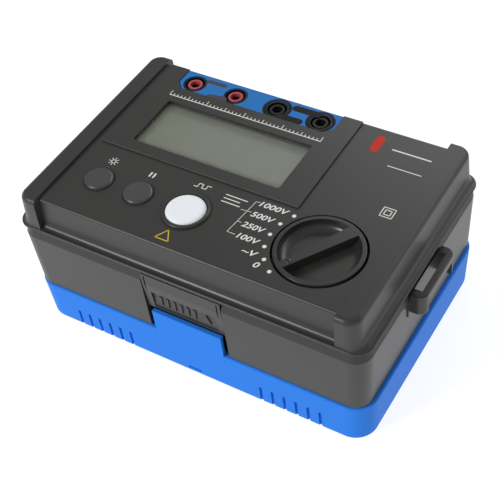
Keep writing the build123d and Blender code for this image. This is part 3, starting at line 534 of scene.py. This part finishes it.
def marks(name, outlines, z, finish):
    """One object from several closed outlines, each a list of (x, y) in metres."""
    mesh = bpy.data.meshes.new(name)
    build = bmesh.new()
    for outline in outlines:
        bottom = [build.verts.new((x, y, z - INK_SINK)) for x, y in outline]
        top = [build.verts.new((x, y, z + INK_RISE)) for x, y in outline]
        build.faces.new(top)
        build.faces.new(bottom[::-1])
        for k in range(len(outline)):
            after = (k + 1) % len(outline)
            build.faces.new((bottom[k], bottom[after], top[after], top[k]))
    bmesh.ops.recalc_face_normals(build, faces=build.faces)
    build.to_mesh(mesh)
    build.free()
    piece = add_object(name, mesh)
    mesh.materials.append(materials[finish])
    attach(piece, "case")


def stroke(x0, y0, x1, y1, width):
    """Outline of a straight line of this width, in millimetres."""
    along = Vector((x1 - x0, y1 - y0)).normalized() * width / 2
    side = Vector((-along.y, along.x))
    a, b = Vector((x0, y0)), Vector((x1, y1))
    return [tuple(MM * p) for p in (a - side, b - side, b + side, a + side)]


def disc(x, y, radius, steps=28):
    """Outline of a round dot, in millimetres."""
    return [(MM * (x + radius * math.cos(2 * math.pi * k / steps)),
             MM * (y + radius * math.sin(2 * math.pi * k / steps))) for k in range(steps)]


def ring(x, y, inner, outer, steps=40):
    """A flat ring as a fan of four-cornered outlines, in millimetres."""
    turn = [2 * math.pi * k / steps for k in range(steps + 1)]
    rim = [(math.cos(a), math.sin(a)) for a in turn]
    return [[(MM * (x + r * c), MM * (y + r * s)) for r, (c, s) in
             ((inner, rim[k]), (outer, rim[k]), (outer, rim[k + 1]), (inner, rim[k + 1]))]
            for k in range(steps)]


print("mark helpers ready")

# %% [markdown]
# ## Dial
# Six white dots stand round the knob, one for each position, a fixed angle apart. Beside them are the test
# voltages, joined by a thin bracket. Figures are made with a text curve, because a font is the simplest way
# to well drawn digits; the curve is slanted, turned into a mesh and then treated like any other mark.

# %% Dots
KNOB_X, KNOB_Y = knob_at.x / MM, knob_at.y / MM
DOT_RADIUS = 1.05
DOT_CIRCLE = 26.2
OFF_ANGLE = 236.0
STEP_ANGLE = 18.0
POSITIONS = 6
dot_places = []
for position in range(POSITIONS):
    angle = math.radians(OFF_ANGLE - STEP_ANGLE * position)
    dot_places.append((KNOB_X + DOT_CIRCLE * math.cos(angle),
                       KNOB_Y + DOT_CIRCLE * math.sin(angle)))
marks("dial_dots", [disc(x, y, DOT_RADIUS) for x, y in dot_places], panel_z, "white_ink")
print("dots", len(dot_places))

# %% Figures
FIGURE_SIZE = 4.8
FIGURE_SLANT = 0.2
FIGURE_BOLD = 0.08


def figures(name, words, z, finish):
    """Printed figures: words holds (text, left end, right end, y of its foot), in millimetres."""
    joined = bmesh.new()
    for text, left, right, foot in words:
        curve = bpy.data.curves.new(name + "_line", "FONT")
        curve.body = text
        curve.size = FIGURE_SIZE * MM
        curve.shear = FIGURE_SLANT
        curve.offset = FIGURE_BOLD * MM
        curve.extrude = (INK_SINK + INK_RISE) / 2
        curve.resolution_u = 4
        holder = add_object(name + "_line", curve)
        bpy.context.view_layer.update()
        solid = holder.evaluated_get(bpy.context.evaluated_depsgraph_get())
        flat = solid.to_mesh().copy()
        bpy.data.objects.remove(holder)
        start = min(vertex.co.x for vertex in flat.vertices)
        end = max(vertex.co.x for vertex in flat.vertices)
        stretch = (right - left) * MM / (end - start)
        for vertex in flat.vertices:
            vertex.co.x = left * MM + (vertex.co.x - start) * stretch
            vertex.co.y += foot * MM
            vertex.co.z += z + (INK_RISE - INK_SINK) / 2
        joined.from_mesh(flat)
        bpy.data.meshes.remove(flat)
    mesh = bpy.data.meshes.new(name)
    joined.to_mesh(mesh)
    joined.free()
    piece = add_object(name, mesh)
    mesh.materials.append(materials[finish])
    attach(piece, "case")


dial_words = [("1000V", 18.7, 34.5, -16.2), ("500V", 18.2, 31.0, -23.9),
              ("250V", 17.6, 30.0, -31.6), ("100V", 19.3, 31.5, -39.2),
              ("~V", 26.4, 34.7, -46.6), ("0", 35.9, 38.9, -52.0)]
figures("dial_figures", dial_words, panel_z, "white_ink")
print("figures", [word[0] for word in dial_words])

# %% Bracket beside the test voltages
BRACKET_LINE = 0.28
bracket_ends = [(16.2, -14.3, 13.6, -37.8), (16.2, -14.3, 18.6, -14.2), (12.0, -22.1, 17.8, -21.6),
                (14.4, -29.7, 16.9, -29.7), (13.6, -37.8, 18.2, -37.8)]
marks("range_bracket", [stroke(*ends, BRACKET_LINE) for ends in bracket_ends], panel_z, "white_ink")
print("bracket lines", len(bracket_ends))

# %% [markdown]
# ## Signs behind the keys
# The keys are told apart by plain pictures: a lamp for the display light, two bars for holding a reading and
# a pulse for the test itself. An empty triangle asks for care with the test voltage.

# %% Lamp and bars behind the small keys
light_x, hold_x, test_x = [middle(node).x / MM
                           for node in ("light_button", "hold_button", "test_button")]
key_y = middle("light_button").y / MM
SIGN_LINE = 0.45
SIGN_BEHIND = 14.5           # a small key's sign, behind the key's middle
SIGN_LEFT = 1.1              # signs stand a little left of their keys
LAMP_INNER, LAMP_OUTER = 1.0, 1.45
RAYS = 8
RAY_START, RAY_END = 1.9, 2.8
sign_y = key_y + SIGN_BEHIND
lamp_x = light_x - SIGN_LEFT
lamp = ring(lamp_x, sign_y, LAMP_INNER, LAMP_OUTER)
for ray in range(RAYS):
    angle = math.radians(360 // RAYS * ray)
    lamp.append(stroke(lamp_x + RAY_START * math.cos(angle), sign_y + RAY_START * math.sin(angle),
                       lamp_x + RAY_END * math.cos(angle), sign_y + RAY_END * math.sin(angle),
                       SIGN_LINE))
marks("light_sign", lamp, panel_z, "white_ink")
BAR_WIDTH, BAR_HALF, BAR_APART = 0.9, 1.7, 1.1
hold = [stroke(hold_x - SIGN_LEFT + x, sign_y - BAR_HALF,
               hold_x - SIGN_LEFT + x, sign_y + BAR_HALF, BAR_WIDTH)
        for x in (-BAR_APART, BAR_APART)]
marks("hold_sign", hold, panel_z, "white_ink")
print("signs at", round(light_x, 1), round(hold_x, 1))

# %% Pulse behind the test key, legend rules and care triangle
TEST_SIGN_BEHIND = 18.3
TEST_SIGN_LEFT = 1.8
LEGEND_LINE = 0.55
CARE_LINE = 0.55
test_sign_y = key_y + TEST_SIGN_BEHIND
pulse = [(-4.6, -1.2), (-2.4, -1.2), (-2.4, 1.4), (0.0, 1.4),
         (0.0, -1.2), (2.4, -1.2), (2.4, 1.4), (4.6, 1.4)]
pulse_strokes = []
for (ax, ay), (bx, by) in zip(pulse, pulse[1:]):
    pulse_strokes.append(stroke(test_x - TEST_SIGN_LEFT + ax, test_sign_y + ay,
                                test_x - TEST_SIGN_LEFT + bx, test_sign_y + by, SIGN_LINE))
marks("test_sign", pulse_strokes, panel_z, "white_ink")
legend_ends = [(12.4, -16.2), (9.4, -18.6), (10.6, -21.0)]
legend = [stroke(0.0, y, right, y, LEGEND_LINE) for right, y in legend_ends]
marks("legend_rules", legend, panel_z, "white_ink")
corners = [(-16.2, -55.9), (-12.4, -49.3), (-8.6, -55.9)]
care = [stroke(*corners[k], *corners[(k + 1) % 3], CARE_LINE) for k in range(3)]
marks("care_sign", care, panel_z, "yellow_ink")
print("test sign at", round(test_x, 1))

# %% [markdown]
# ## Display block
# A printed rule with ticks runs between the sockets and the display, where such a tester carries its title.
# On the right of the panel are two rules and the double square for double insulation.

# %% Rule with ticks
RULE_LEFT, RULE_RIGHT, RULE_Y = -68.5, 24.5, 36.6
RULE_LINE = 0.5
TICKS = 40
TICK_LINE = 0.42
TICK_INSET = 0.2
rule = [stroke(RULE_LEFT, RULE_Y, RULE_RIGHT, RULE_Y, RULE_LINE)]
for tick in range(TICKS + 1):
    x = RULE_LEFT + TICK_INSET + (RULE_RIGHT - RULE_LEFT - 2 * TICK_INSET) * tick / TICKS
    tall = 3.4 if tick % 10 == 0 else 2.6 if tick % 5 == 0 else 1.7
    rule.append(stroke(x, RULE_Y + RULE_LINE / 2, x, RULE_Y + tall, TICK_LINE))
marks("title_rule", rule, plateau_z, "white_ink")
print("ticks", TICKS + 1)

# %% Name rules and double square
name_rules = [stroke(59.5, 47.3, 81.0, 47.3, 0.8), stroke(62.5, 35.6, 81.0, 35.6, 0.5)]
marks("name_rules", name_rules, panel_z, "white_ink")
SQUARE_X, SQUARE_Y = 77.2, 6.0
SQUARE_LINE = 0.5
square = []
for half in (3.1, 1.6):
    path = [(-half, -half), (half, -half), (half, half), (-half, half)]
    for k in range(4):
        ax, ay = path[k]
        bx, by = path[(k + 1) % 4]
        reach = SQUARE_LINE / 2 if ay == by else 0.0
        sign = 1 if bx > ax else -1
        square.append(stroke(SQUARE_X + ax - sign * reach, SQUARE_Y + ay,
                             SQUARE_X + bx + sign * reach, SQUARE_Y + by, SQUARE_LINE))
marks("double_square", square, panel_z, "white_ink")
print("display block printed")

# %% [markdown]
# ## Terminal label
# Grey tags stand beside the two red sockets and dark tags run out of the two black ones, so a lead's colour
# leads the eye to its socket. The same rounded bar in red marks the right of the panel.

# %% Socket tags
SOCKET_NODES = ("socket_line", "socket_volts", "socket_guard", "socket_earth")
line_x, volts_x, guard_x, earth_x = [(middle(node) / MM).x for node in SOCKET_NODES]
socket_y = sum(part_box("sleeve_line")[k].y for k in (0, 1)) / 2 / MM


def capsule(x0, y0, x1, y1, radius, steps=10):
    """A rounded bar between two points, in millimetres."""
    heading = math.atan2(y1 - y0, x1 - x0)
    outline = []
    for cx, cy, turn in ((x1, y1, -math.pi / 2), (x0, y0, math.pi / 2)):
        for k in range(steps + 1):
            angle = heading + turn + math.pi * k / steps
            outline.append((MM * (cx + radius * math.cos(angle)),
                            MM * (cy + radius * math.sin(angle))))
    return outline


RING_INNER, RING_OUTER = 6.7, 8.0
TAG_BELOW_RINGS = 0.01 * MM  # keeps the two black prints from lying in one plane
grey = [capsule(line_x + 6.4, socket_y + 4.8, line_x + 16.2, socket_y + 4.8, 1.4),
        capsule(volts_x - 12.6, socket_y - 6.6, volts_x - 5.0, socket_y - 5.4, 2.3)]
marks("grey_tags", grey, label_z, "grey_ink")
dark = (ring(guard_x, socket_y, RING_INNER, RING_OUTER)
        + ring(earth_x, socket_y, RING_INNER, RING_OUTER))
marks("black_rings", dark, label_z, "black_ink")
marks("red_mark", [capsule(51.0, 44.2, 51.0, 52.2, 2.3)], panel_z, "red_ink")
tags = [capsule(guard_x + 4.0, socket_y - 4.6, guard_x + 15.4, socket_y - 4.6, 2.2),
        capsule(earth_x - 16.6, socket_y + 4.4, earth_x - 4.0, socket_y + 4.4, 2.2)]
marks("black_tags", tags, label_z - TAG_BELOW_RINGS, "black_ink")
print("tags printed")

# %% [markdown]
# ## Studio
# A pale floor that glows a little and broad soft lights suit dark plastic: the plastic itself is nearly
# black, and what shows its form is the reflection of large pale surfaces.

# %% Floor, world and lights
FLOOR_HALF = 15.0
FLOOR_GREY = 0.40
FLOOR_GLOW = 0.78
WORLD_STRENGTH = 0.42
floor_mesh = bpy.data.meshes.new("floor")
floor_mesh.from_pydata([(-FLOOR_HALF, -FLOOR_HALF, 0), (FLOOR_HALF, -FLOOR_HALF, 0),
                        (FLOOR_HALF, FLOOR_HALF, 0), (-FLOOR_HALF, FLOOR_HALF, 0)], [], [(0, 1, 2, 3)])
floor = add_object("floor", floor_mesh)
floor_finish = Finish("floor_paper", Roughness=0.9)
floor_grey = colour(FLOOR_GREY, FLOOR_GREY, FLOOR_GREY)
floor_finish.shader.inputs["Base Color"].default_value = floor_grey
floor_finish.shader.inputs["Emission Color"].default_value = colour(1, 1, 1)
floor_finish.shader.inputs["Emission Strength"].default_value = FLOOR_GLOW
floor_mesh.materials.append(floor_finish.material)

world = bpy.data.worlds.new("studio")
bpy.context.scene.world = world
world.use_nodes = True
background = world.node_tree.nodes["Background"]
background.inputs["Color"].default_value = colour(1, 1, 1)
background.inputs["Strength"].default_value = WORLD_STRENGTH


def soft_box(name, place, aim, width, height, power):
    """A rectangular area light that faces a point."""
    data = bpy.data.lights.new(name, "AREA")
    data.shape = "RECTANGLE"
    data.size = width
    data.size_y = height
    data.energy = power
    light = add_object(name, data)
    light.location = place
    light.rotation_mode = "QUATERNION"
    light.rotation_quaternion = (Vector(aim) - Vector(place)).to_track_quat("-Z", "Y")


soft_box("key_light", (-0.55, -0.98, 0.78), (0, 0, 0.08), 0.40, 0.22, 9.0)
soft_box("top_strip", (0.1, 0.9, 0.8), (0, 0, 0.08), 1.2, 0.3, 4.0)
soft_box("side_fill", (0.9, 0.75, 0.55), (0, 0, 0.05), 0.5, 0.4, 1.0)
bpy.context.scene.view_settings.view_transform = "Standard"
print("studio ready")
